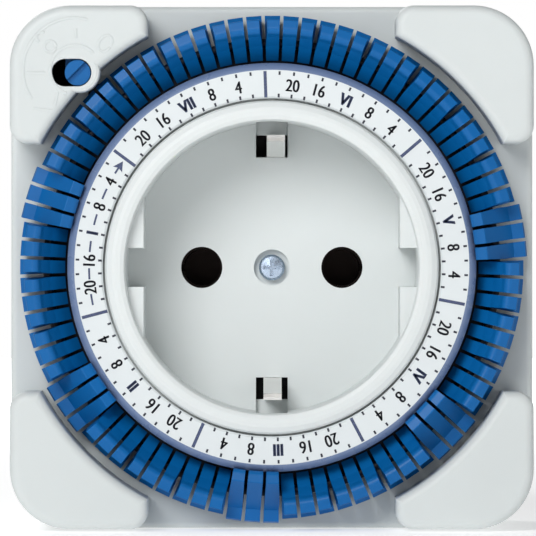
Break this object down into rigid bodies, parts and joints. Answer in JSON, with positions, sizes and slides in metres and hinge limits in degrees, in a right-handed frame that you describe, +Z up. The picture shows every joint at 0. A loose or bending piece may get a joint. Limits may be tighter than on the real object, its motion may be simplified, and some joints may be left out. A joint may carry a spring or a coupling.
{
  "type": "plug-in time switch",
  "caption": "Square plug-in mechanical weekly time switch with an earthed socket in its face, a printed dial, a ring of rocking tappets and an override slider.",
  "frame": {"origin": "centre of the two plug pins on the flat face of the plug", "axes": "+X to the right seen from the front, +Z up, front face towards -Y, plug pins along +Y"},
  "size_m": [0.07, 0.0792, 0.07],
  "materials": {
    "white_housing": "fine satin moulded plastic",
    "blue_tappets": "satin moulded plastic",
    "dark_ring": "matt moulded plastic",
    "dial_white": "printed satin plastic",
    "zinc_steel": "bright zinc plate",
    "nickel_plate": "nickel plate",
    "contact_brass": "rolled brass",
    "tinned_copper": "tinned copper",
    "can_steel": "plated steel cup",
    "coil_winding": "enamelled copper winding",
    "rotor_magnet": "ferrite",
    "spring_steel": "spring steel",
    "acetal_gear": "natural acetal",
    "black_plastic": "moulded plastic"
  },
  "bodies": {
    "housing": {"rear_shell": "white_housing", "front_cover": "white_housing", "housing_screws": "zinc_steel", "socket_insert": "white_housing", "centre_screw": "zinc_steel", "live_pin": "nickel_plate", "neutral_pin": "nickel_plate", "plug_earth_strip": "nickel_plate", "earth_clips": "nickel_plate", "live_contact": "contact_brass", "neutral_contact": "contact_brass", "movement_plate": "black_plastic", "motor_can": "can_steel", "motor_coil": "coil_winding", "motor_gearbox": "black_plastic", "switch_case": "black_plastic", "live_link": "contact_brass", "fixed_contact": "contact_brass", "neutral_link": "contact_brass", "motor_leads": "tinned_copper"},
    "dial": {"dial_disc": "dial_white", "program_ring": "dark_ring"},
    "tappets_00": {"tappets_00": "blue_tappets"},
    "tappets_01": {"tappets_01": "blue_tappets"},
    "tappets_02": {"tappets_02": "blue_tappets"},
    "tappets_03": {"tappets_03": "blue_tappets"},
    "tappets_04": {"tappets_04": "blue_tappets"},
    "tappets_05": {"tappets_05": "blue_tappets"},
    "tappets_06": {"tappets_06": "blue_tappets"},
    "tappets_07": {"tappets_07": "blue_tappets"},
    "tappets_08": {"tappets_08": "blue_tappets"},
    "tappets_09": {"tappets_09": "blue_tappets"},
    "tappets_10": {"tappets_10": "blue_tappets"},
    "tappets_11": {"tappets_11": "blue_tappets"},
    "tappets_12": {"tappets_12": "blue_tappets"},
    "tappets_13": {"tappets_13": "blue_tappets"},
    "tappets_14": {"tappets_14": "blue_tappets"},
    "tappets_15": {"tappets_15": "blue_tappets"},
    "tappets_16": {"tappets_16": "blue_tappets"},
    "tappets_17": {"tappets_17": "blue_tappets"},
    "tappets_18": {"tappets_18": "blue_tappets"},
    "tappets_19": {"tappets_19": "blue_tappets"},
    "tappets_20": {"tappets_20": "blue_tappets"},
    "tappets_21": {"tappets_21": "blue_tappets"},
    "tappets_22": {"tappets_22": "blue_tappets"},
    "tappets_23": {"tappets_23": "blue_tappets"},
    "tappets_24": {"tappets_24": "blue_tappets"},
    "tappets_25": {"tappets_25": "blue_tappets"},
    "tappets_26": {"tappets_26": "blue_tappets"},
    "tappets_27": {"tappets_27": "blue_tappets"},
    "day_arbor": {"day_pinion": "acetal_gear", "clutch_spring": "spring_steel"},
    "day_wheel": {"day_wheel": "acetal_gear"},
    "reduction_wheel": {"reduction_wheel": "acetal_gear"},
    "motor_pinion": {"motor_pinion": "acetal_gear"},
    "rotor": {"motor_rotor": "rotor_magnet"},
    "override_slider": {"override_slider": "blue_tappets"},
    "switch_plunger": {"switch_plunger": "black_plastic"},
    "moving_contact": {"moving_contact": "contact_brass"}
  },
  "joints": [
    {"name": "dial_spin", "type": "hinge", "parent": "housing", "child": "dial", "pos_m": [0, -0.053, 0], "axis": [0, 1, 0], "continuous": true},
    {"name": "tappets_00_tilt", "type": "hinge", "parent": "dial", "child": "tappets_00", "pos_m": [0.00231, -0.053, 0.02986], "axis": [0.997, 0, -0.0772], "range_deg": [0, 39]},
    {"name": "tappets_01_tilt", "type": "hinge", "parent": "dial", "child": "tappets_01", "pos_m": [0.0089, -0.053, 0.0286], "axis": [0.9548, 0, -0.2971], "range_deg": [0, 39]},
    {"name": "tappets_02_tilt", "type": "hinge", "parent": "dial", "child": "tappets_02", "pos_m": [0.01504, -0.053, 0.0259], "axis": [0.8648, 0, -0.5022], "range_deg": [0, 39]},
    {"name": "tappets_03_tilt", "type": "hinge", "parent": "dial", "child": "tappets_03", "pos_m": [0.02043, -0.053, 0.0219], "axis": [0.7314, 0, -0.682], "range_deg": [0, 39]},
    {"name": "tappets_04_tilt", "type": "hinge", "parent": "dial", "child": "tappets_04", "pos_m": [0.02479, -0.053, 0.01681], "axis": [0.5613, 0, -0.8276], "range_deg": [0, 39]},
    {"name": "tappets_05_tilt", "type": "hinge", "parent": "dial", "child": "tappets_05", "pos_m": [0.02791, -0.053, 0.01087], "axis": [0.363, 0, -0.9318], "range_deg": [0, 39]},
    {"name": "tappets_06_tilt", "type": "hinge", "parent": "dial", "child": "tappets_06", "pos_m": [0.02963, -0.053, 0.00439], "axis": [0.1466, 0, -0.9892], "range_deg": [-39, 0]},
    {"name": "tappets_07_tilt", "type": "hinge", "parent": "dial", "child": "tappets_07", "pos_m": [0.02986, -0.053, -0.00231], "axis": [-0.0772, 0, -0.997], "range_deg": [0, 39]},
    {"name": "tappets_08_tilt", "type": "hinge", "parent": "dial", "child": "tappets_08", "pos_m": [0.0286, -0.053, -0.0089], "axis": [-0.2971, 0, -0.9548], "range_deg": [0, 39]},
    {"name": "tappets_09_tilt", "type": "hinge", "parent": "dial", "child": "tappets_09", "pos_m": [0.0259, -0.053, -0.01504], "axis": [-0.5022, 0, -0.8648], "range_deg": [0, 39]},
    {"name": "tappets_10_tilt", "type": "hinge", "parent": "dial", "child": "tappets_10", "pos_m": [0.0219, -0.053, -0.02043], "axis": [-0.682, 0, -0.7314], "range_deg": [-39, 0]},
    {"name": "tappets_11_tilt", "type": "hinge", "parent": "dial", "child": "tappets_11", "pos_m": [0.01681, -0.053, -0.02479], "axis": [-0.8276, 0, -0.5613], "range_deg": [0, 39]},
    {"name": "tappets_12_tilt", "type": "hinge", "parent": "dial", "child": "tappets_12", "pos_m": [0.01087, -0.053, -0.02791], "axis": [-0.9318, 0, -0.363], "range_deg": [0, 39]},
    {"name": "tappets_13_tilt", "type": "hinge", "parent": "dial", "child": "tappets_13", "pos_m": [0.00439, -0.053, -0.02963], "axis": [-0.9892, 0, -0.1466], "range_deg": [0, 39]},
    {"name": "tappets_14_tilt", "type": "hinge", "parent": "dial", "child": "tappets_14", "pos_m": [-0.00231, -0.053, -0.02986], "axis": [-0.997, 0, 0.0772], "range_deg": [-39, 0]},
    {"name": "tappets_15_tilt", "type": "hinge", "parent": "dial", "child": "tappets_15", "pos_m": [-0.0089, -0.053, -0.0286], "axis": [-0.9548, 0, 0.2971], "range_deg": [0, 39]},
    {"name": "tappets_16_tilt", "type": "hinge", "parent": "dial", "child": "tappets_16", "pos_m": [-0.01504, -0.053, -0.0259], "axis": [-0.8648, 0, 0.5022], "range_deg": [0, 39]},
    {"name": "tappets_17_tilt", "type": "hinge", "parent": "dial", "child": "tappets_17", "pos_m": [-0.02043, -0.053, -0.0219], "axis": [-0.7314, 0, 0.682], "range_deg": [0, 39]},
    {"name": "tappets_18_tilt", "type": "hinge", "parent": "dial", "child": "tappets_18", "pos_m": [-0.02479, -0.053, -0.01681], "axis": [-0.5613, 0, 0.8276], "range_deg": [-39, 0]},
    {"name": "tappets_19_tilt", "type": "hinge", "parent": "dial", "child": "tappets_19", "pos_m": [-0.02791, -0.053, -0.01087], "axis": [-0.363, 0, 0.9318], "range_deg": [0, 39]},
    {"name": "tappets_20_tilt", "type": "hinge", "parent": "dial", "child": "tappets_20", "pos_m": [-0.02963, -0.053, -0.00439], "axis": [-0.1466, 0, 0.9892], "range_deg": [0, 39]},
    {"name": "tappets_21_tilt", "type": "hinge", "parent": "dial", "child": "tappets_21", "pos_m": [-0.02986, -0.053, 0.00231], "axis": [0.0772, 0, 0.997], "range_deg": [0, 39]},
    {"name": "tappets_22_tilt", "type": "hinge", "parent": "dial", "child": "tappets_22", "pos_m": [-0.0286, -0.053, 0.0089], "axis": [0.2971, 0, 0.9548], "range_deg": [-39, 0]},
    {"name": "tappets_23_tilt", "type": "hinge", "parent": "dial", "child": "tappets_23", "pos_m": [-0.0259, -0.053, 0.01504], "axis": [0.5022, 0, 0.8648], "range_deg": [0, 39]},
    {"name": "tappets_24_tilt", "type": "hinge", "parent": "dial", "child": "tappets_24", "pos_m": [-0.0219, -0.053, 0.02043], "axis": [0.682, 0, 0.7314], "range_deg": [0, 39]},
    {"name": "tappets_25_tilt", "type": "hinge", "parent": "dial", "child": "tappets_25", "pos_m": [-0.01681, -0.053, 0.02479], "axis": [0.8276, 0, 0.5613], "range_deg": [0, 39]},
    {"name": "tappets_26_tilt", "type": "hinge", "parent": "dial", "child": "tappets_26", "pos_m": [-0.01087, -0.053, 0.02791], "axis": [0.9318, 0, 0.363], "range_deg": [0, 39]},
    {"name": "tappets_27_tilt", "type": "hinge", "parent": "dial", "child": "tappets_27", "pos_m": [-0.00439, -0.053, 0.02963], "axis": [0.9892, 0, 0.1466], "range_deg": [0, 39]},
    {"name": "day_arbor_spin", "type": "hinge", "parent": "housing", "child": "day_arbor", "pos_m": [0.0198, -0.037, -0.0198], "axis": [0, 1, 0], "continuous": true},
    {"name": "day_wheel_spin", "type": "hinge", "parent": "housing", "child": "day_wheel", "pos_m": [0.0198, -0.0337, -0.0198], "axis": [0, 1, 0], "continuous": true},
    {"name": "reduction_spin", "type": "hinge", "parent": "housing", "child": "reduction_wheel", "pos_m": [0.0058, -0.0315, -0.0198], "axis": [0, 1, 0], "continuous": true},
    {"name": "motor_pinion_spin", "type": "hinge", "parent": "housing", "child": "motor_pinion", "pos_m": [-0.0082, -0.0315, -0.0198], "axis": [0, 1, 0], "continuous": true},
    {"name": "rotor_spin", "type": "hinge", "parent": "housing", "child": "rotor", "pos_m": [-0.0185, -0.0235, -0.0185], "axis": [0, 1, 0], "continuous": true},
    {"name": "override_slide", "type": "slide", "parent": "housing", "child": "override_slider", "axis": [-1, 0, 0], "range_m": [0, 0.00165]},
    {"name": "plunger_press", "type": "slide", "parent": "housing", "child": "switch_plunger", "axis": [0, 1, 0], "range_m": [0, 0.00099]},
    {"name": "contact_tilt", "type": "hinge", "parent": "housing", "child": "moving_contact", "pos_m": [-0.02335, -0.0329, 0.0125], "axis": [-1, 0, 0], "range_deg": [0, 5.23]}
  ],
  "couplings": [
    {"joint": "day_arbor_spin", "follows": "dial_spin", "ratio": -7},
    {"joint": "day_wheel_spin", "follows": "reduction_spin", "ratio": -0.16667},
    {"joint": "motor_pinion_spin", "follows": "reduction_spin", "ratio": -6},
    {"joint": "plunger_press", "follows": "override_slide", "ratio": 0.6},
    {"joint": "contact_tilt", "follows": "override_slide", "rad_per_m": 55.248}
  ]
}
